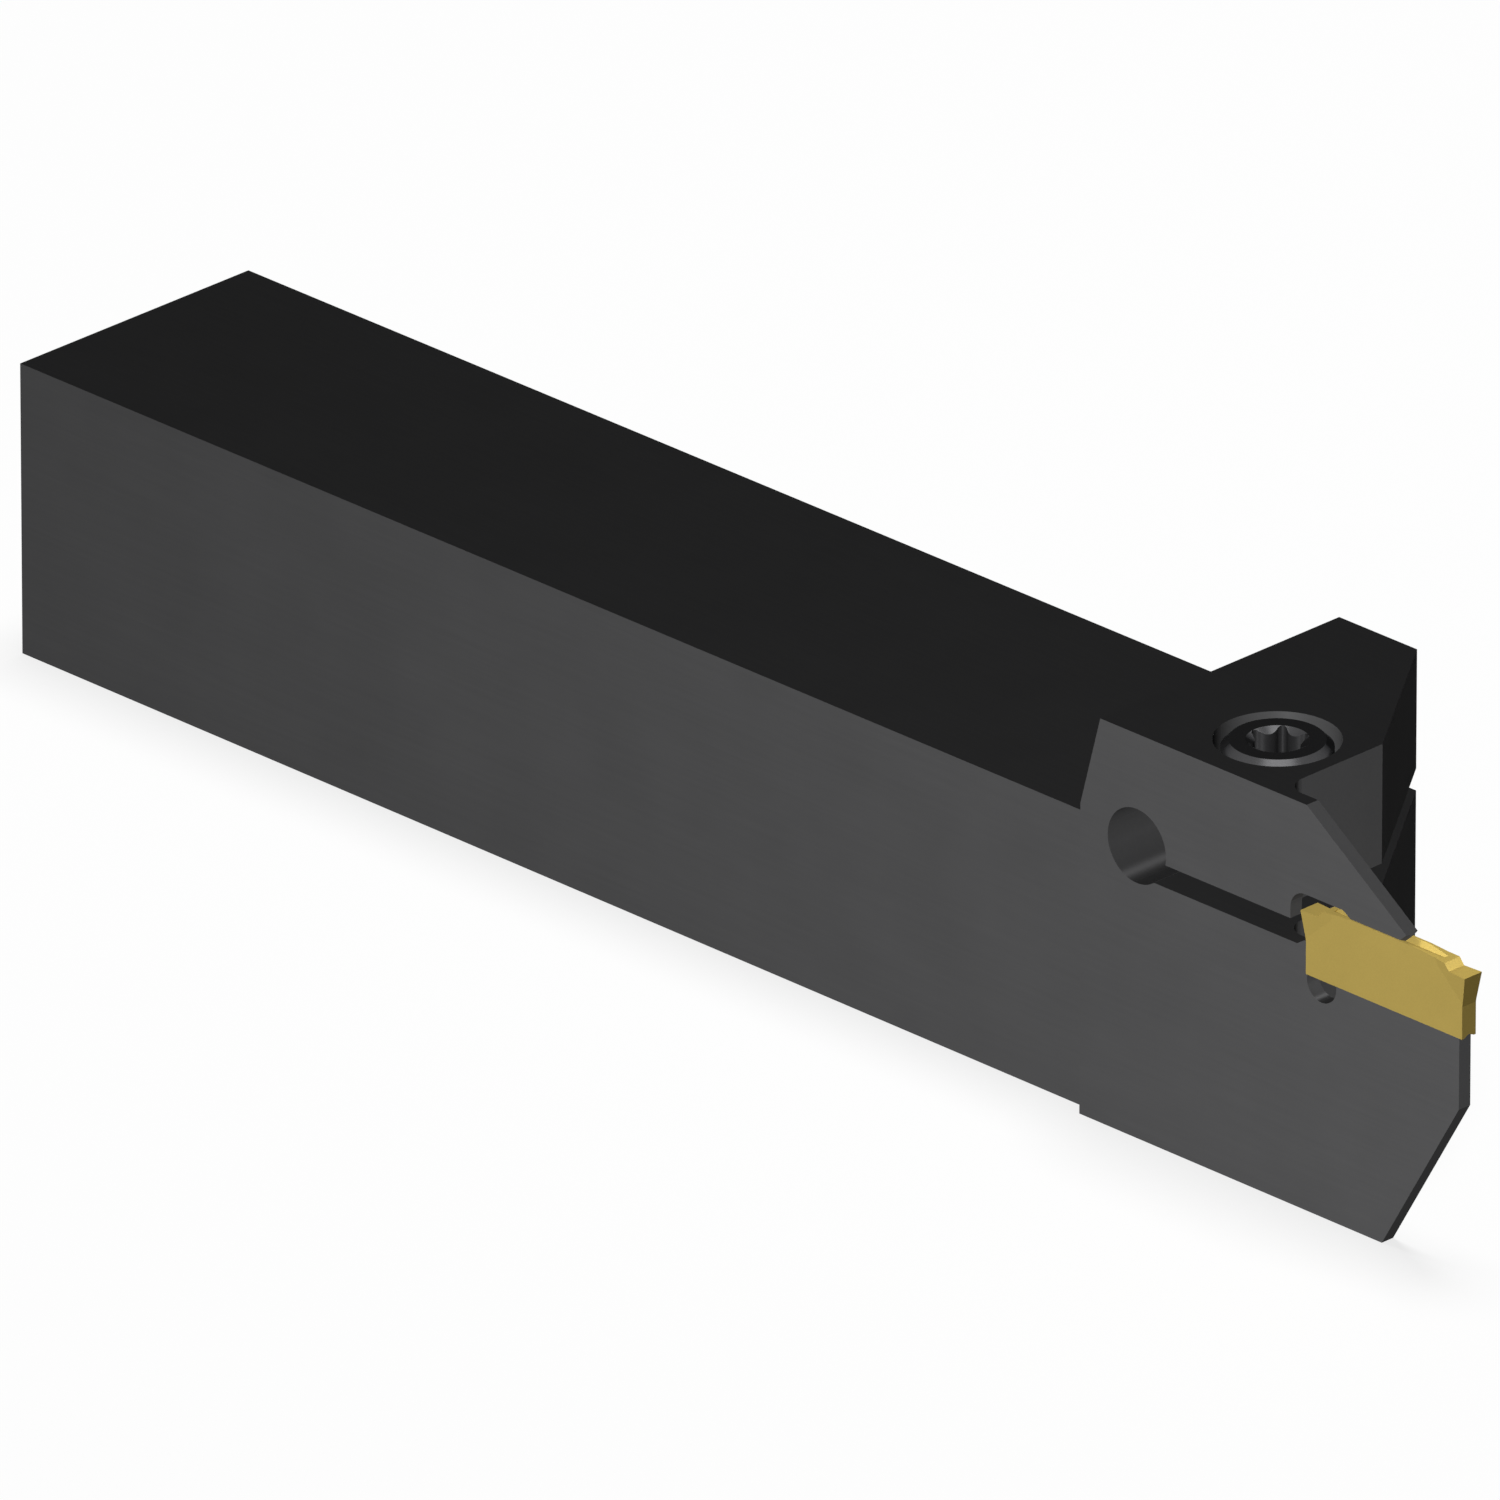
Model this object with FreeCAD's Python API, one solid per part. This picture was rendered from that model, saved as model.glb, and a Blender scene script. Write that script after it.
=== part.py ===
import FreeCAD, Part
import math
import os

# Parting tool holder with its insert and clamp screw. Lengths in millimetres, angles in degrees.
# The origin is the middle of the shank's underside. X runs to the cutting end, Z is up, and the
# blade lies along the -Y side.

# Shank
shank_width = 20.0
shank_height = 20.0
shank_length = 94.1                 # rear end to the step where the head begins

# Head
head_rise = 7.3                     # head top above the shank top
side_step = 0.9                     # head side face proud of the shank side face
ramp_angle = 15.0                   # rear face of the head, from the vertical
ramp_setback = 0.28                 # foot of that ramp behind the step
block_length = 16.45                # step to the thick part's front face
corner_cut_length = 8.1             # cut at the front corner, along the head
corner_cut_width = 11.35            # the same cut, across the head

# Blade and jaw
blade_inset = 0.1                   # blade side below the insert's side, on each side
blade_reach = 15.9                  # lower blade beyond the thick part
blade_root_radius = 1.5             # fillet between the thick part and the blade
nose_cut_height = 11.15             # height where the blade's front face turns back
nose_cut_angle = 60.0               # that lower face, from the horizontal
jaw_top_reach = 2.85                # jaw top beyond the thick part
jaw_slope_angle = 35.0              # jaw nose, below the horizontal
jaw_tip_rise = 0.475                # jaw tip above the jaw's underside
jaw_tip_angle = 42.0                # short stretch where underside and rail turn up to the tip

# Slot and spring hole that let the jaw bend
slot_height = 1.5
slot_floor_rise = 1.75              # slot floor above the seat
spring_hole_diameter = 5.0
spring_hole_setback = 4.85          # hole centre in front of the step
spring_hole_rise = 2.0              # hole centre above the slot floor

# Seat and the stop behind the insert
seat_height = 16.0                  # insert's underside above the shank's underside
seat_length = 12.94                 # stop to the blade's front face
stop_land = 0.2                     # flat on top of the stop
stop_back_length = 0.65             # slope behind the stop, down to the slot floor
stop_clearance = 0.02               # stop top below the insert's sloped end face
corner_relief_diameter = 2.5        # round relief at the foot of the stop
corner_relief_drop = 0.3            # its centre below the seat
rail_land_clearance = 0.02          # blade beside its V rails to the insert's lands
pocket_side_clearance = 0.1         # beside the insert's wide ends, where they reach the thick part

# Notch in the jaw that clears the insert's rear edge
notch_setback = 1.44                # rear wall behind the stop
notch_depth = 0.4                   # ceiling above the jaw's underside
notch_length = 4.46                 # rear wall to the front slope
notch_radius = 1.26                 # round rear corner
notch_slope_angle = 32.0            # front slope, from the horizontal

# Insert
insert_length = 13.94               # cutting edge to cutting edge
cutting_width = 1.5
body_inset = 0.15                   # side between the wide ends, below the cutting corners
insert_height = 4.85                # underside to the top lands
cutting_height = 4.24               # cutting edge above the underside
end_relief = 0.34                   # lower end face behind the cutting edge
end_relief_height = 2.05            # cutting edge down to that lower face
rake_land_length = 1.42             # flat behind the cutting edge
chip_wall_length = 0.38             # steep wall behind the flat
chip_wall_rise = 0.46
ridge_length = 0.5                  # nearly level top behind the wall
ridge_rise = 0.03
head_slope_length = 1.8             # gentle slope behind it, up to the top lands
side_relief_back = 3.6              # angle of a wide end's sides, running back
side_relief_down = 4.0              # angle of the same sides, running down
wide_end_length = 2.5               # cutting edge to where those sides turn in to the body
wide_end_turn_in = 15.0             # angle at which they turn in
groove_land = 0.15                  # flat on each side of the V grooves along the top and underside
groove_depth = 0.2

# Clamp screw, M4
screw_setback = 11.4                # screw axis in front of the step
screw_inset = 5.55                  # screw axis from the blade's side face
thread_diameter = 4.0
thread_clearance = 0.02             # radial, screw thread to tapped hole
screw_length = 16.0                 # under the head
screw_head_diameter = 7.0
screw_head_height = 4.0
screw_head_chamfer = 0.5
screw_tip_chamfer = 0.5
under_head_radius = 0.15
clearance_hole_diameter = 4.5
counterbore_diameter = 8.0
tapped_hole_runout = 2.0            # tapped hole deeper than the screw's end
drill_point_angle = 118.0
socket_outer_diameter = 3.95        # six-lobe socket, over the lobes
socket_inner_diameter = 2.85        # between opposite flanks
socket_lobe_radius = 0.305
socket_lobe_count = 6
socket_depth = 2.2
socket_turn = 5.0                   # how far the socket is turned about the screw axis
socket_lead_in_angle = 30.0         # entry cone, from the horizontal

cut_margin = 5.0                    # how far a cutting shape runs past what it cuts


def rise_of(angle, run):
    return run * math.tan(math.radians(angle))


def run_of(angle, rise):
    return rise / math.tan(math.radians(angle))


# Places along X
rear_x = -shank_length / 2
step_x = shank_length / 2
block_x = step_x + block_length
block_middle_x = step_x + block_length / 2
blade_x = block_x + blade_reach
jaw_top_x = block_x + jaw_top_reach
spring_hole_x = step_x + spring_hole_setback
screw_x = step_x + screw_setback
stop_x = blade_x - seat_length
notch_x = stop_x - notch_setback
insert_x = stop_x + insert_length / 2 - end_relief

# Widths that follow from the cutting width
insert_thickness = cutting_width - 2 * body_inset
blade_thickness = insert_thickness - 2 * blade_inset
groove_width = insert_thickness - 2 * groove_land

# Places along Y
side_y = shank_width / 2
face_y = -side_y - side_step
blade_back_y = face_y + blade_thickness
blade_mid_y = face_y + blade_thickness / 2
screw_y = face_y + screw_inset

# Heights
head_top = shank_height + head_rise
slot_floor = seat_height + slot_floor_rise
slot_roof = slot_floor + slot_height
spring_hole_z = slot_floor + spring_hole_rise
insert_top = seat_height + insert_height
cutting_z = seat_height + cutting_height
stop_top = cutting_z - end_relief_height - stop_clearance
jaw_underside = insert_top + rail_land_clearance
seat_land = seat_height - rail_land_clearance

# The jaw's sloped nose ends at the tip. The underside turns up to it at the knee.
tip_z = jaw_underside + jaw_tip_rise
tip_x = jaw_top_x + run_of(jaw_slope_angle, head_top - tip_z)
knee_x = tip_x - run_of(jaw_tip_angle, jaw_tip_rise)


# The points that draw one corner: the corner itself, or the start, middle and end of its arc
def corner_points(before, corner, after):
    here = FreeCAD.Vector(corner[0], corner[1], 0)
    if len(corner) == 2:
        return [here]
    radius = corner[2]
    back = (FreeCAD.Vector(before[0], before[1], 0) - here).normalize()
    ahead = (FreeCAD.Vector(after[0], after[1], 0) - here).normalize()
    half_angle = back.getAngle(ahead) / 2
    tangent = radius / math.tan(half_angle)
    to_arc = radius / math.sin(half_angle) - radius
    return [here + back * tangent, here + (back + ahead).normalize() * to_arc, here + ahead * tangent]


# A closed wire through corners given as (a, b) or (a, b, radius), where a radius rounds the corner.
# place turns the two numbers into a point in space.
def outline(corners, place):
    count = len(corners)
    drawn = []
    for index, corner in enumerate(corners):
        points = corner_points(corners[index - 1], corner, corners[(index + 1) % count])
        drawn.append([place(point.x, point.y) for point in points])
    edges = []
    for index, points in enumerate(drawn):
        last = drawn[index - 1][-1]
        if last.distanceToPoint(points[0]) > 1e-6:
            edges.append(Part.makeLine(last, points[0]))
        if len(points) == 3:
            edges.append(Part.Arc(*points).toShape())
    return Part.Wire(edges)


# A plate with its outline in X and Z, from one Y to another
def side_plate(corners, low_y, high_y):
    wire = outline(corners, lambda x, z: FreeCAD.Vector(x, low_y, z))
    return Part.Face(wire).extrude(FreeCAD.Vector(0, high_y - low_y, 0))


# A column with its outline in X and Y, from one height to another
def plan_column(corners, low_z, high_z):
    wire = outline(corners, lambda x, y: FreeCAD.Vector(x, y, low_z))
    return Part.Face(wire).extrude(FreeCAD.Vector(0, 0, high_z - low_z))


# A bar with its outline in Y and Z, from one X to another
def end_bar(corners, low_x, high_x):
    wire = outline(corners, lambda y, z: FreeCAD.Vector(low_x, y, z))
    return Part.Face(wire).extrude(FreeCAD.Vector(high_x - low_x, 0, 0))


def cylinder_down(diameter, x, y, top_z, bottom_z):
    foot = FreeCAD.Vector(x, y, bottom_z)
    return Part.makeCylinder(diameter / 2, top_z - bottom_z, foot)


def cylinder_across(diameter, x, z, low_y, high_y):
    start = FreeCAD.Vector(x, low_y, z)
    return Part.makeCylinder(diameter / 2, high_y - low_y, start, FreeCAD.Vector(0, 1, 0))


# A V with its point at apex_z and its arms opening towards open_z, as steep as the insert's grooves
def v_section(apex_z, open_z):
    half = abs(open_z - apex_z) * groove_width / 2 / groove_depth
    return [(blade_mid_y, apex_z), (blade_mid_y + half, open_z), (blade_mid_y - half, open_z)]


# Square shank, and the part of the head that rises from it at the ramp
def make_shank():
    ramp_top_x = step_x - ramp_setback + run_of(90 - ramp_angle, head_rise)
    corners = [(rear_x, 0), (block_middle_x, 0), (block_middle_x, head_top), (ramp_top_x, head_top),
               (step_x - ramp_setback, shank_height), (rear_x, shank_height)]
    return side_plate(corners, -side_y, side_y)


# Thick part of the head, with its front corner cut off and a fillet to the blade
def make_block():
    plan = [(step_x, face_y), (block_x + blade_root_radius, face_y),
            (block_x + blade_root_radius, blade_back_y), (block_x, blade_back_y, blade_root_radius),
            (block_x, side_y - corner_cut_width), (block_x - corner_cut_length, side_y),
            (step_x, side_y)]
    block = plan_column(plan, 0, head_top)
    foot_x = step_x - ramp_setback
    above = head_rise + cut_margin
    ramp_cut = [(foot_x, shank_height), (foot_x + run_of(90 - ramp_angle, above), shank_height + above),
                (foot_x - cut_margin, shank_height + above), (foot_x - cut_margin, shank_height)]
    return block.cut(side_plate(ramp_cut, face_y - cut_margin, side_y + cut_margin))


# Thin blade and jaw as one plate, before the space for the insert is cut
def make_blade():
    nose_foot_x = blade_x - run_of(nose_cut_angle, nose_cut_height)
    slope_at_front = head_top - rise_of(jaw_slope_angle, blade_x - jaw_top_x)
    corners = [(block_middle_x, 0), (nose_foot_x, 0), (blade_x, nose_cut_height),
               (blade_x, slope_at_front), (jaw_top_x, head_top), (block_middle_x, head_top)]
    return side_plate(corners, face_y, blade_back_y)


# Slot, stop, seat, jaw underside and notch, as one space cut through the blade
def make_pocket():
    far_x = blade_x + cut_margin
    notch_ceiling = jaw_underside + notch_depth
    notch_front_x = notch_x + notch_length
    corner_radius = min(notch_radius, notch_ceiling - slot_roof)
    corners = [(spring_hole_x, slot_floor), (stop_x - stop_land - stop_back_length, slot_floor),
               (stop_x - stop_land, stop_top), (stop_x, stop_top), (stop_x, seat_land),
               (far_x, seat_land), (far_x, tip_z), (tip_x, tip_z), (knee_x, jaw_underside),
               (notch_front_x + run_of(notch_slope_angle, notch_depth), jaw_underside),
               (notch_front_x, notch_ceiling), (notch_x, notch_ceiling, corner_radius),
               (notch_x, slot_roof), (spring_hole_x, slot_roof)]
    inner_y = blade_mid_y + cutting_width / 2 + pocket_side_clearance
    return side_plate(corners, face_y - cut_margin, inner_y)


# A V rail no wider than the blade that carries it. It runs from low_x by run, and climbs by climb.
def make_rail(apex_z, base_z, low_x, run, climb):
    wire = outline(v_section(apex_z, base_z), lambda y, z: FreeCAD.Vector(low_x, y, z))
    bar = Part.Face(wire).extrude(FreeCAD.Vector(run, 0, climb))
    blade_slab = Part.makeBox(run, blade_thickness, cut_margin * 2,
                              FreeCAD.Vector(low_x, face_y, apex_z - cut_margin))
    return bar.common(blade_slab)


# Rail on the seat, which the insert's lower groove sits on
def make_seat_rail():
    return make_rail(seat_height + groove_depth, seat_land, stop_x, blade_x - stop_x, 0)


# Rail under the jaw, pressed into the insert's upper groove. It turns up with the underside at the
# knee and ends in the plane of the sloped nose, so the nose's lower edge is a shallow V.
def make_jaw_rail():
    apex_z = insert_top - groove_depth
    rail_start = notch_x + notch_length + run_of(notch_slope_angle, notch_depth)
    straight = make_rail(apex_z, jaw_underside, rail_start, knee_x - rail_start, 0)
    past_tip = tip_x - knee_x + groove_width
    rising = make_rail(apex_z, jaw_underside, knee_x, past_tip, rise_of(jaw_tip_angle, past_tip))
    nose_cut = [(tip_x, tip_z), (tip_x + cut_margin, tip_z - rise_of(jaw_slope_angle, cut_margin)),
                (tip_x + cut_margin, tip_z + cut_margin), (tip_x, tip_z + cut_margin)]
    nose_plate = side_plate(nose_cut, face_y - cut_margin, blade_back_y + cut_margin)
    return straight.fuse(rising.cut(nose_plate))


# Counterbore, clearance hole and tapped hole on the screw's axis
def make_screw_holes():
    head_seat = head_top - screw_head_height
    tapped_end = head_seat - screw_length - tapped_hole_runout
    tapped_diameter = thread_diameter + 2 * thread_clearance
    point_height = run_of(drill_point_angle / 2, tapped_diameter / 2)
    point_foot = FreeCAD.Vector(screw_x, screw_y, tapped_end - point_height)
    return [cylinder_down(counterbore_diameter, screw_x, screw_y, head_top + cut_margin, head_seat),
            cylinder_down(clearance_hole_diameter, screw_x, screw_y, head_seat, slot_roof),
            cylinder_down(tapped_diameter, screw_x, screw_y, slot_floor, tapped_end),
            Part.makeCone(0, tapped_diameter / 2, point_height, point_foot)]


def make_holder_body():
    low_y = face_y - cut_margin
    high_y = side_y + cut_margin
    slot = [(spring_hole_x, slot_floor), (block_x + blade_root_radius, slot_floor),
            (block_x + blade_root_radius, slot_roof), (spring_hole_x, slot_roof)]
    relief_x = stop_x + corner_relief_diameter / 2
    relief_z = seat_height - corner_relief_drop
    body = make_shank().fuse([make_block(), make_blade()])
    body = body.cut([side_plate(slot, low_y, high_y), make_pocket()])
    body = body.fuse([make_seat_rail(), make_jaw_rail()])
    holes = [cylinder_across(spring_hole_diameter, spring_hole_x, spring_hole_z, low_y, high_y),
             cylinder_across(corner_relief_diameter, relief_x, relief_z, low_y, blade_back_y)]
    return body.cut(holes + make_screw_holes()).removeSplitter()


# Head, plain cylinder at the thread's outer diameter, and six-lobe socket
def make_clamp_screw():
    head_radius = screw_head_diameter / 2
    thread_radius = thread_diameter / 2
    seat_z = head_top - screw_head_height
    end_z = seat_z - screw_length
    profile = [(0, head_top), (head_radius - screw_head_chamfer, head_top),
               (head_radius, head_top - screw_head_chamfer), (head_radius, seat_z),
               (thread_radius, seat_z, under_head_radius), (thread_radius, end_z + screw_tip_chamfer),
               (thread_radius - screw_tip_chamfer, end_z), (0, end_z)]
    axis_point = FreeCAD.Vector(screw_x, screw_y, 0)
    wire = outline(profile, lambda r, z: FreeCAD.Vector(screw_x + r, screw_y, z))
    turned = Part.Face(wire).revolve(axis_point, FreeCAD.Vector(0, 0, 1), 360)
    return turned.cut(make_socket())


# Six round lobes joined by hollow arcs. The arcs are tangent where they meet, which fixes the
# radius of the hollow ones.
def make_socket():
    outer = socket_outer_diameter / 2
    inner = socket_inner_diameter / 2
    lobe_step = 360.0 / socket_lobe_count
    lobe_centre = outer - socket_lobe_radius
    across = lobe_centre * math.cos(math.radians(lobe_step / 2))
    flank_radius = ((lobe_centre ** 2 + inner ** 2 - 2 * inner * across - socket_lobe_radius ** 2)
                    / (2 * (socket_lobe_radius - inner + across)))
    flank_centre = inner + flank_radius
    bottom_z = head_top - socket_depth

    def polar(radius, angle):
        turn = math.radians(angle)
        x = screw_x + radius * math.cos(turn)
        y = screw_y + radius * math.sin(turn)
        return FreeCAD.Vector(x, y, bottom_z)

    # Where a lobe's arc meets the flank arc beside it: on the line between their two centres
    def meeting(lobe_angle, flank_angle):
        start = polar(lobe_centre, lobe_angle)
        towards = (polar(flank_centre, flank_angle) - start).normalize()
        return start + towards * socket_lobe_radius

    edges = []
    for lobe in range(socket_lobe_count):
        middle = socket_turn + lobe * lobe_step
        left, right = middle - lobe_step / 2, middle + lobe_step / 2
        lobe_arc = Part.Arc(meeting(middle, left), polar(outer, middle), meeting(middle, right))
        flank_arc = Part.Arc(meeting(middle, right), polar(inner, right),
                             meeting(middle + lobe_step, right))
        edges += [lobe_arc.toShape(), flank_arc.toShape()]
    socket = Part.Face(Part.Wire(edges)).extrude(FreeCAD.Vector(0, 0, socket_depth))
    cone_height = rise_of(socket_lead_in_angle, outer)
    cone_foot = FreeCAD.Vector(screw_x, screw_y, head_top - cone_height)
    return socket.fuse(Part.makeCone(0, outer, cone_height, cone_foot))


# Half width of the insert's wide end: its sides lean in running back and running down from the
# cutting edge, and turn in past the wide end. back and down are distances from that edge.
def wide_end_half(back, down):
    leaning = rise_of(side_relief_back, min(back, wide_end_length)) + rise_of(side_relief_down, down)
    turned_in = rise_of(wide_end_turn_in, max(back - wide_end_length, 0))
    return cutting_width / 2 - leaning - turned_in


# The wide end as a block whose section narrows running back, until it is inside the body.
# direction is 1 for the front end and -1 for the rear.
def make_wide_end(direction):
    past_body = wide_end_length + run_of(wide_end_turn_in, body_inset)
    sections = []
    for back in (0, wide_end_length, past_body):
        low = wide_end_half(back, cutting_height)
        high = wide_end_half(back, cutting_height - insert_height)
        x = insert_x + direction * (insert_length / 2 - back)
        corners = [(blade_mid_y - low, seat_height), (blade_mid_y + low, seat_height),
                   (blade_mid_y + high, insert_top), (blade_mid_y - high, insert_top)]
        sections.append(outline(corners, lambda y, z: FreeCAD.Vector(x, y, z)))
    return Part.makeLoft(sections, True, True)


# Double-ended insert: both ends are alike, so its outline is one half and that half mirrored
def make_parting_insert():
    nose = insert_length / 2
    wall_foot = nose - rake_land_length
    wall_top = wall_foot - chip_wall_length
    ridge_end = wall_top - ridge_length
    wall_z = cutting_z + chip_wall_rise
    front = [(nose - end_relief, seat_height), (nose - end_relief, cutting_z - end_relief_height),
             (nose, cutting_z), (wall_foot, cutting_z), (wall_top, wall_z),
             (ridge_end, wall_z + ridge_rise), (ridge_end - head_slope_length, insert_top)]
    rear = [(-x, z) for x, z in reversed(front)]
    corners = [(insert_x + x, z) for x, z in front + rear]
    half = insert_thickness / 2
    side_profile = side_plate(corners, blade_mid_y - cutting_width, blade_mid_y + cutting_width)
    middle = side_plate(corners, blade_mid_y - half, blade_mid_y + half)
    insert = side_profile.common(make_wide_end(1)).fuse([middle, side_profile.common(make_wide_end(-1))])
    top_section = v_section(insert_top - groove_depth, insert_top + groove_depth)
    top_groove = end_bar(top_section, insert_x - ridge_end, insert_x + ridge_end)
    low_section = v_section(seat_height + groove_depth, seat_height - groove_depth)
    low_groove = end_bar(low_section, insert_x - nose, insert_x + nose)
    return insert.cut([top_groove, low_groove]).removeSplitter()


def export(shape, node):
    print(node, "solids", len(shape.Solids), "valid", shape.isValid(), "volume", round(shape.Volume, 3))
    shape.exportStep("parts/" + node + ".step")


os.makedirs("parts", exist_ok=True)
export(make_holder_body(), "holder_body")
export(make_clamp_screw(), "clamp_screw")
export(make_parting_insert(), "parting_insert")
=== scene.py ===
import math
import bpy
import numpy as np
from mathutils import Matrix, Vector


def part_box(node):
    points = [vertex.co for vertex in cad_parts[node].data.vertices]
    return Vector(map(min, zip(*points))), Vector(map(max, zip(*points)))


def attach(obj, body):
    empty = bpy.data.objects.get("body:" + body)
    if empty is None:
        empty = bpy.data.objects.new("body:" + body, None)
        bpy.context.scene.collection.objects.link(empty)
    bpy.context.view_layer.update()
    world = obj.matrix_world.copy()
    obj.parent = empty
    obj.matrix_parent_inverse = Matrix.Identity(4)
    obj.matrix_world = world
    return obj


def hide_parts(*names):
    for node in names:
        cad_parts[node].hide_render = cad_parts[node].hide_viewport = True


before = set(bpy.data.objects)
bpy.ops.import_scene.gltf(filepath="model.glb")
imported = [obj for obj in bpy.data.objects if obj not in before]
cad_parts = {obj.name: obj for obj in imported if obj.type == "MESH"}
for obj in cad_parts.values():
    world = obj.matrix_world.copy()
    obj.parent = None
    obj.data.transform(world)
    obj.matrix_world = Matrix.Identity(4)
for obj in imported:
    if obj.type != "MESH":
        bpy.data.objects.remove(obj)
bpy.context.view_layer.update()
print("frame loaded:", sorted(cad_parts))


# Camera, at the photograph's viewing angle. The photograph is nearly without perspective, so the
# camera stands far off with a long lens.
camera = {
    "place": (1.716244, -1.708676, 1.134810),  # metres, in the frame
    "azimuth": 45.0,                           # degrees from looking along +Y
    "elevation": 25.0,                         # degrees above the horizon
    "fieldOfView": 2.0,                        # degrees, the same both ways
    "sensorWidth": 36.0,                       # millimetres
    "nearest": 0.1,                            # metres, what is closer isn't drawn
    "farthest": 20.0,
}


def makeCamera(settings):
    data = bpy.data.cameras.new("camera")
    data.sensor_width = settings["sensorWidth"]
    halfView = math.radians(settings["fieldOfView"]) / 2
    data.lens = 0.5 * data.sensor_width / math.tan(halfView)
    data.clip_start = settings["nearest"]
    data.clip_end = settings["farthest"]
    holder = bpy.data.objects.new("camera", data)
    holder.location = settings["place"]
    lookDown = math.radians(90 - settings["elevation"])
    holder.rotation_euler = (lookDown, 0, math.radians(settings["azimuth"]))
    bpy.context.scene.collection.objects.link(holder)
    bpy.context.scene.camera = holder


makeCamera(camera)
print("camera placed")


# Light. The background is plain white, also in reflections. The key box stands low before the blade's
# side and the back box behind the far side. The far box, high behind, gives the holes and reliefs
# their glint. The overhead box lights only the floor, so that the object's soft shadow shows there.
# The insert has a key box of its own and two that show only in its glints, and the screw has one.
light = {
    "target": (0.075, -0.0109, 0.014),         # middle of the blade's side
    "ambient": 0.04,                           # world strength for all but the background
}
softBoxes = {
    # name: direction from the target, distance, width (metres), power (watts), and whether it throws
    # shadows, lights matt colour and shows in glints, then its light group
    "keyBox": ((0.42, -0.89, 0.14), 0.30, 0.12, 2.30, False, True, True, "steel"),
    "backBox": ((-0.70, 0.70, 0.05), 0.50, 0.12, 2.60, False, True, False, "object"),
    "farBox": ((-0.15, 0.64, 0.76), 0.50, 0.16, 0.35, False, True, True, "steel"),
    "overheadBox": ((-0.06, 0.09, 1.0), 1.2, 0.50, 14.3, True, True, True, "floor"),
    "insertKeyBox": ((0.12, -0.73, 0.67), 0.30, 0.12, 1.27, False, True, True, "insert"),
    "insertRearBox": ((-0.64, 0.12, 0.76), 0.30, 0.16, 0.16, False, False, True, "insert"),
    "insertFarBox": ((0.50, 0.64, 0.58), 0.30, 0.16, 0.20, False, False, True, "insert"),
    "screwBox": ((0.12, -0.12, 0.98), 0.30, 0.26, 0.60, False, True, True, "screw"),
}
floorFinish = {
    "size": 30.0,                              # metres
    "colour": 0.95,                            # the floor as the camera sees it lit
    "bounce": 0.08,                            # the same floor as it lights the object
    "white": 0.8,                              # share of plain white that the camera sees in it
    "whiteInMetal": 0.35,                      # the same share in reflections
}


# One maths node. Each of its two inputs is a number or another node's output.
def addMaths(tree, operation, first, second):
    node = tree.nodes.new("ShaderNodeMath")
    node.operation = operation
    for socket, value in zip(node.inputs, (first, second)):
        if isinstance(value, bpy.types.NodeSocket):
            tree.links.new(value, socket)
        else:
            socket.default_value = value
    return node.outputs[0]


# 1 for what is seen in a reflection or through glass, otherwise 0
def addReflected(tree, path):
    glossy, clear = path.outputs["Is Glossy Ray"], path.outputs["Is Transmission Ray"]
    return addMaths(tree, "MAXIMUM", glossy, clear)


def makeWorld(ambient):
    world = bpy.data.worlds.new("studio")
    bpy.context.scene.world = world
    world.use_nodes = True
    tree = world.node_tree
    path = tree.nodes.new("ShaderNodeLightPath")
    reflected = addReflected(tree, path)
    seen = addMaths(tree, "MAXIMUM", path.outputs["Is Camera Ray"], reflected)
    strength = addMaths(tree, "MAXIMUM", seen, ambient)
    background = tree.nodes["Background"]
    background.inputs["Color"].default_value = (1, 1, 1, 1)
    tree.links.new(strength, background.inputs["Strength"])


def makeFloor(finish):
    half = finish["size"] / 2
    corners = [(-half, -half, 0), (half, -half, 0), (half, half, 0), (-half, half, 0)]
    mesh = bpy.data.meshes.new("floor")
    mesh.from_pydata(corners, [], [(0, 1, 2, 3)])
    plane = bpy.data.objects.new("floor", mesh)
    bpy.context.scene.collection.objects.link(plane)
    material = bpy.data.materials.new("floor")
    material.use_nodes = True
    tree = material.node_tree
    tree.nodes.clear()
    path = tree.nodes.new("ShaderNodeLightPath")
    tone = tree.nodes.new("ShaderNodeMapRange")
    tone.inputs["To Min"].default_value = finish["bounce"]
    tone.inputs["To Max"].default_value = finish["colour"]
    tree.links.new(path.outputs["Is Camera Ray"], tone.inputs["Value"])
    matt = tree.nodes.new("ShaderNodeBsdfDiffuse")
    tree.links.new(tone.outputs["Result"], matt.inputs["Color"])
    white = tree.nodes.new("ShaderNodeEmission")
    inMetal = addMaths(tree, "MULTIPLY", addReflected(tree, path), finish["whiteInMetal"])
    toCamera = addMaths(tree, "MULTIPLY", path.outputs["Is Camera Ray"], finish["white"])
    mix = tree.nodes.new("ShaderNodeMixShader")
    tree.links.new(addMaths(tree, "ADD", toCamera, inMetal), mix.inputs[0])
    tree.links.new(matt.outputs[0], mix.inputs[1])
    tree.links.new(white.outputs[0], mix.inputs[2])
    output = tree.nodes.new("ShaderNodeOutputMaterial")
    tree.links.new(mix.outputs[0], output.inputs["Surface"])
    mesh.materials.append(material)
    return plane


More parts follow.
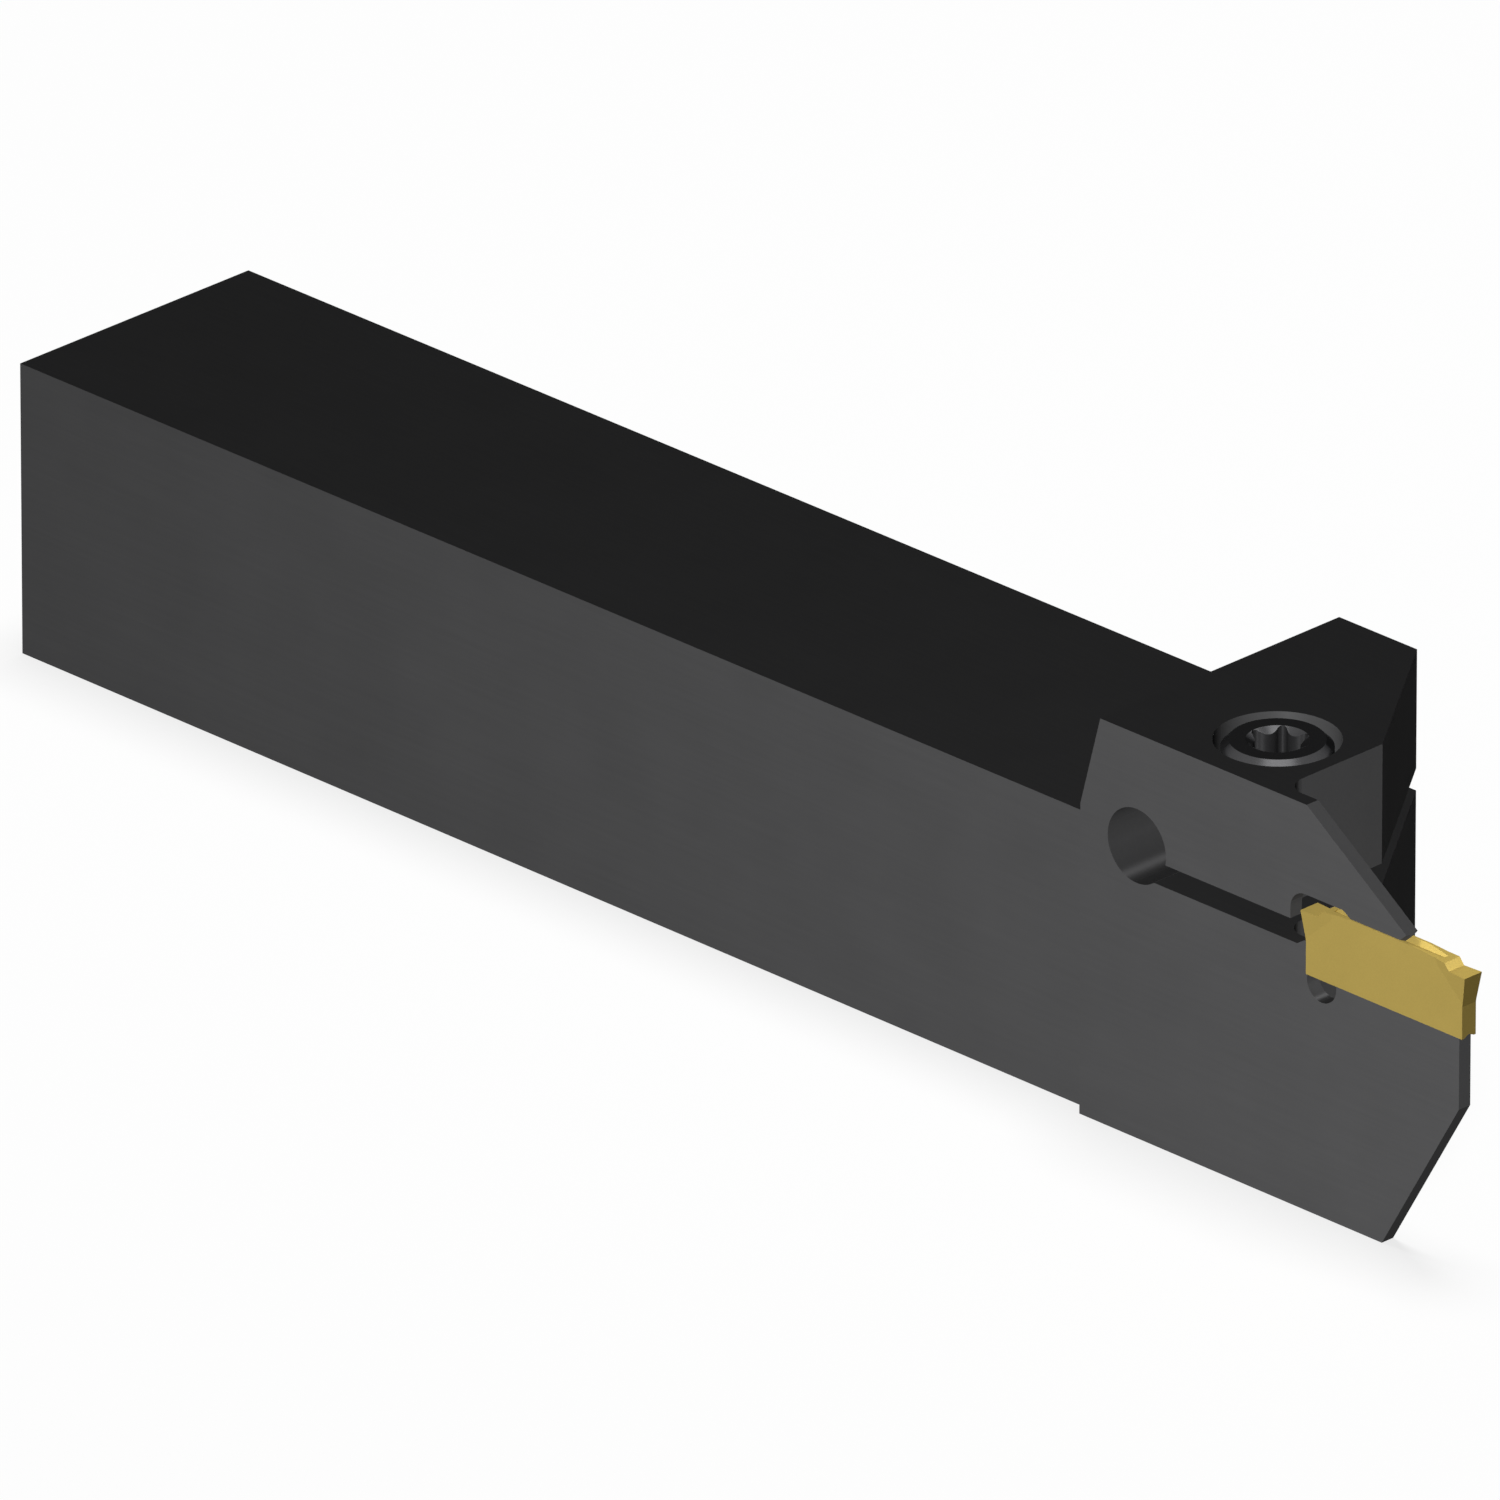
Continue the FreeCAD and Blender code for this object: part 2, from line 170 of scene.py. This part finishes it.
# A round soft box that faces its target and lights only the receivers
def addSoftBox(name, target, direction, distance, width, power, shadow, matt, glints, receivers):
    data = bpy.data.lights.new(name, "AREA")
    data.shape = "DISK"
    data.size = width
    data.energy = power
    data.use_shadow = shadow
    box = bpy.data.objects.new(name, data)
    box.visible_diffuse = matt
    box.visible_glossy = glints
    towards = -np.array(direction) / np.linalg.norm(direction)
    box.location = np.array(target) - distance * towards
    tilt = math.acos(-towards[2])
    box.rotation_euler = (tilt, 0, math.atan2(towards[1], towards[0]) - math.pi / 2)
    bpy.context.scene.collection.objects.link(box)
    lit = bpy.data.collections.new(name + "Lights")
    for receiver in receivers:
        lit.objects.link(receiver)
    box.light_linking.receiver_collection = lit


makeWorld(light["ambient"])
floor = makeFloor(floorFinish)
bpy.context.scene.view_settings.view_transform = "Standard"
print("floor and background made")


# Materials. Each reads Object coordinates in metres. A black edge tint keeps the blackened steel dark
# where it is seen at a low angle. With a colour much above 0.06, pale streaks show on the top faces.
blackenedSteel = {
    "slot": "blackened_steel",
    "colour": (0.055, 0.055, 0.056),
    "metallic": 0.4,
    "roughness": 0.3,
    "edgeTint": (0.0, 0.0, 0.0),
    "cloudSize": 0.006,        # soft patches in the blackening, metres
    "cloudAmount": 0.04,       # share by which they lighten and darken it
    "grainSize": 0.00022,      # width of the grinding lines, metres
    "grainStretch": 30.0,      # how much longer than wide they are, along X
    "grainAmount": 0.03,       # share by which they lighten and darken it
    "grainDepth": 0.0000001,   # metres
}
screwSteel = {
    "slot": "screw_steel",
    "colour": (0.055, 0.055, 0.057),
    "metallic": 0.85,
    "roughness": 0.25,
    "edgeTint": (0.08, 0.08, 0.08),
    "cloudSize": 0.002,
    "cloudAmount": 0.06,
    "grainSize": 0.00012,
    "grainStretch": 1.0,
    "grainAmount": 0.06,
    "grainDepth": 0.000001,
}
coatedCarbide = {
    "slot": "coated_carbide",
    "colour": (0.48, 0.355, 0.095),
    "metallic": 0.4,
    "roughness": 0.42,
    "edgeTint": (0.4, 0.34, 0.2),
    "cloudSize": 0.003,
    "cloudAmount": 0.03,
    "grainSize": 0.00006,
    "grainStretch": 1.0,
    "grainAmount": 0.05,
    "grainDepth": 0.000001,
}
noiseHabits = {
    "middle": 0.5,             # mean of Blender's noise
    "gain": 4.0,               # brings its usual range, a quarter each way, to one each way
    "cloudDetail": 3,
    "grainDetail": 4,
    "cloudShine": -0.3,        # roughness gained per share of lightness: pale patches shine more
}


def makeNoise(tree, coordinates, size, detail):
    noise = tree.nodes.new("ShaderNodeTexNoise")
    noise.inputs["Scale"].default_value = 1 / size
    noise.inputs["Detail"].default_value = detail
    tree.links.new(coordinates, noise.inputs["Vector"])
    return noise.outputs["Fac"]


# The share by which a noise lightens or darkens: gain * amount * (noise - middle)
def addShare(tree, noise, amount):
    centred = addMaths(tree, "SUBTRACT", noise, noiseHabits["middle"])
    return addMaths(tree, "MULTIPLY", centred, noiseHabits["gain"] * amount)


# The colour is multiplied by 1 + the clouds' share + the grain's share
def makeMaterial(name, finish):
    material = bpy.data.materials.new(name)
    material.use_nodes = True
    tree = material.node_tree
    shader = tree.nodes["Principled BSDF"]
    shader.inputs["Metallic"].default_value = finish["metallic"]
    shader.inputs["Specular IOR Level"].default_value = 0.0
    shader.inputs["Specular Tint"].default_value = finish["edgeTint"] + (1,)
    place = tree.nodes.new("ShaderNodeTexCoord").outputs["Object"]
    stretch = tree.nodes.new("ShaderNodeMapping")
    stretch.inputs["Scale"].default_value = (1 / finish["grainStretch"], 1, 1)
    tree.links.new(place, stretch.inputs["Vector"])
    stretched = stretch.outputs["Vector"]
    clouds = makeNoise(tree, place, finish["cloudSize"], noiseHabits["cloudDetail"])
    grain = makeNoise(tree, stretched, finish["grainSize"], noiseHabits["grainDetail"])
    cloudShare = addShare(tree, clouds, finish["cloudAmount"])
    grainShare = addShare(tree, grain, finish["grainAmount"])
    gain = addMaths(tree, "ADD", addMaths(tree, "ADD", cloudShare, grainShare), 1.0)
    tone = tree.nodes.new("ShaderNodeVectorMath")
    tone.operation = "SCALE"
    tone.inputs[0].default_value = finish["colour"]
    tree.links.new(gain, tone.inputs["Scale"])
    tree.links.new(tone.outputs[0], shader.inputs["Base Color"])
    shine = addMaths(tree, "MULTIPLY", cloudShare, noiseHabits["cloudShine"])
    rough = addMaths(tree, "ADD", shine, finish["roughness"])
    tree.links.new(rough, shader.inputs["Roughness"])
    bump = tree.nodes.new("ShaderNodeBump")
    bump.inputs["Strength"].default_value = 1.0
    bump.inputs["Distance"].default_value = finish["grainDepth"]
    tree.links.new(grain, bump.inputs["Height"])
    tree.links.new(bump.outputs["Normal"], shader.inputs["Normal"])
    return material


def dress(node, material):
    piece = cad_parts[node]
    piece.data.materials.clear()
    piece.data.materials.append(material)


dress("holder_body", makeMaterial("blackenedSteel", blackenedSteel))
dress("parting_insert", makeMaterial("coatedCarbide", coatedCarbide))
print("materials made")


# Clamp screw: head with chamfer and six-lobe socket, radius under the head, thread and chamfered end.
# Lengths in metres. It keeps the place, length and diameters of the solid that it stands for.
clampScrew = {
    "headRadius": 0.0035,
    "headHeight": 0.004,
    "headChamfer": 0.0005,
    "threadRadius": 0.002,
    "rootRadius": 0.00157,     # bottom of the thread, M4
    "pitch": 0.0007,
    "crestShare": 0.125,       # flat crest, as a share of the pitch
    "rootShare": 0.25,
    "plainLength": 0.0011,     # plain neck under the head
    "runOut": 0.0007,          # length over which the thread fades in
    "tipChamfer": 0.0005,
    "underHeadRadius": 0.00015,
    "socketOuter": 0.001975,   # radius over the lobes
    "socketInner": 0.001425,   # radius at the middle of the flanks
    "lobeRadius": 0.000305,
    "lobes": 6,
    "socketDepth": 0.0022,
    "socketTurn": 5.0,         # degrees about the axis
    "leadIn": 30.0,            # degrees, entry cone from the horizontal
    "columns": 240,
    "lobeCrowding": 0.6,       # how much closer the columns stand at the lobes, 0 for evenly
    "floorRing": 0.5,          # ring on the socket's floor, as a share of the socket's radius
    "bendRows": 5,             # rows round the radius under the head
    "rowsPerPitch": 14,
    "sharpAngle": 28.0,        # degrees, edges sharper than this stay crisp
}


# Radius of the six-lobe socket at each angle. A lobe is a small circle about a point at lobeCentre,
# and a flank is part of a circle about a point outside, tangent to the lobes beside it.
def socketRadius(angles, screw):
    step = 2 * math.pi / screw["lobes"]
    lobe, inner = screw["lobeRadius"], screw["socketInner"]
    lobeCentre = screw["socketOuter"] - lobe
    across = lobeCentre * math.cos(step / 2)
    flank = (lobeCentre ** 2 + inner ** 2 - 2 * inner * across - lobe ** 2) / (2 * (lobe - inner + across))
    flankCentre = inner + flank
    # the arcs meet on the line between their centres, lobe away from the lobe's centre
    offset = np.array([flankCentre * math.cos(step / 2) - lobeCentre, flankCentre * math.sin(step / 2)])
    meeting = np.array([lobeCentre, 0]) + offset / np.linalg.norm(offset) * lobe
    meetingAngle = math.atan2(meeting[1], meeting[0])
    fromLobe = np.mod(angles + step / 2, step) - step / 2
    fromFlank = np.mod(angles, step) - step / 2
    onLobe = np.abs(fromLobe) < meetingAngle
    inLobe = np.where(onLobe, fromLobe, 0)
    inFlank = np.where(onLobe, 0, fromFlank)
    lobeArc = lobeCentre * np.cos(inLobe) + np.sqrt(lobe ** 2 - (lobeCentre * np.sin(inLobe)) ** 2)
    flankRise = np.sqrt(flank ** 2 - (flankCentre * np.sin(inFlank)) ** 2)
    flankArc = flankCentre * np.cos(inFlank) - flankRise
    return np.where(onLobe, lobeArc, flankArc)


# Radius of the thread at each depth under the head and each angle: a ridge with flat crest and root
# and straight flanks. Its height is a clipped triangle wave of (depth + pitch * turns), faded in below
# the neck and cut by the chamfer at the end.
def threadRadius(down, angles, screw, length):
    phase = np.mod((down + angles / (2 * math.pi) * screw["pitch"]) / screw["pitch"], 1.0)
    fromRoot = np.abs(phase - 0.5)
    flank = (1 - screw["crestShare"] - screw["rootShare"]) / 2
    height = np.clip((fromRoot - screw["rootShare"] / 2) / flank, 0, 1)
    fade = np.clip((down - screw["plainLength"]) / screw["runOut"], 0, 1)
    depth = (screw["threadRadius"] - screw["rootRadius"]) * fade * (1 - height)
    chamfered = screw["threadRadius"] - np.clip(down - (length - screw["tipChamfer"]), 0, None)
    return np.minimum(screw["threadRadius"] - depth, chamfered)


# The screw is one grid: around by angle, and along a path that starts at the socket's floor, climbs
# out of the socket, goes over the head and down the thread to the end. Columns stand closer together
# at the lobes.
def makeClampScrew(screw):
    low, high = (np.array(corner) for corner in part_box("clamp_screw"))
    axisX, axisY = (low[:2] + high[:2]) / 2
    top, end = high[2], low[2]
    seat = top - screw["headHeight"]
    length = seat - end
    even = np.linspace(0, 2 * math.pi, screw["columns"], endpoint=False)
    angles = even - screw["lobeCrowding"] * np.sin(screw["lobes"] * even) / screw["lobes"]
    ones = np.ones_like(angles)
    # socket, from the floor up
    socket = socketRadius(angles, screw)
    coneDepth = (screw["socketOuter"] - socket) * math.tan(math.radians(screw["leadIn"]))
    floorZ = top - screw["socketDepth"]
    rows = [(screw["floorRing"] * socket, floorZ * ones), (socket, floorZ * ones),
            (socket, top - coneDepth), (screw["socketOuter"] * ones, top * ones)]
    # head, from its top to the seat
    chamfer, headRadius = screw["headChamfer"], screw["headRadius"]
    for radius, height in ((headRadius - chamfer, top), (headRadius, top - chamfer), (headRadius, seat)):
        rows.append((radius * ones, height * ones))
    # radius under the head
    bend = screw["underHeadRadius"]
    for turn in np.linspace(0, math.pi / 2, screw["bendRows"]):
        rows.append(((screw["threadRadius"] + bend * (1 - math.sin(turn))) * ones,
                     (seat - bend * (1 - math.cos(turn))) * ones))
    # thread, down to the end
    count = int(round((length - bend) / screw["pitch"] * screw["rowsPerPitch"]))
    for down in np.linspace(bend, length, count + 1)[1:]:
        rows.append((threadRadius(down * ones, angles, screw, length), (seat - down) * ones))
    radii, heights = (np.array(part) for part in zip(*rows))
    turned = angles + math.radians(screw["socketTurn"])
    places = (axisX + radii * np.cos(turned), axisY + radii * np.sin(turned), heights)
    poles = ((axisX, axisY, floorZ), (axisX, axisY, end))
    return closedGrid("clampScrew", np.stack(places, axis=-1), poles, screw["sharpAngle"])


# A closed mesh from rows of points that go all the way round, closed by a fan to a pole at each end.
# Faces point outwards where the rows run down the outside.
def closedGrid(name, grid, poles, sharpAngle):
    rows, columns = grid.shape[:2]
    points = np.concatenate([grid.reshape(-1, 3), poles])
    index = np.arange(rows * columns).reshape(rows, columns)
    right = np.roll(index, -1, axis=1)
    quads = np.stack([index[:-1], index[1:], right[1:], right[:-1]], axis=-1).reshape(-1, 4)
    first = np.stack([np.full(columns, rows * columns), index[0], right[0]], axis=-1)
    last = np.stack([index[-1], np.full(columns, rows * columns + 1), right[-1]], axis=-1)
    mesh = bpy.data.meshes.new(name)
    mesh.from_pydata(points.tolist(), [], quads.tolist() + first.tolist() + last.tolist())
    mesh.shade_smooth()
    mesh.set_sharp_from_angle(angle=math.radians(sharpAngle))
    piece = bpy.data.objects.new(name, mesh)
    bpy.context.scene.collection.objects.link(piece)
    return piece


screwPiece = makeClampScrew(clampScrew)
screwPiece.data.materials.append(makeMaterial("screwSteel", screwSteel))
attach(screwPiece, "root")
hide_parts("clamp_screw")
print("clamp screw made, faces:", len(screwPiece.data.polygons))


# What each group of soft boxes lights
lightGroups = {
    "floor": [floor],
    "object": [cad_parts["holder_body"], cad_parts["parting_insert"], screwPiece],
    "steel": [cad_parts["holder_body"], screwPiece],
    "insert": [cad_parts["parting_insert"]],
    "screw": [screwPiece],
}
for boxName, (*settings, group) in softBoxes.items():
    addSoftBox(boxName, light["target"], *settings, lightGroups[group])
print("soft boxes placed")
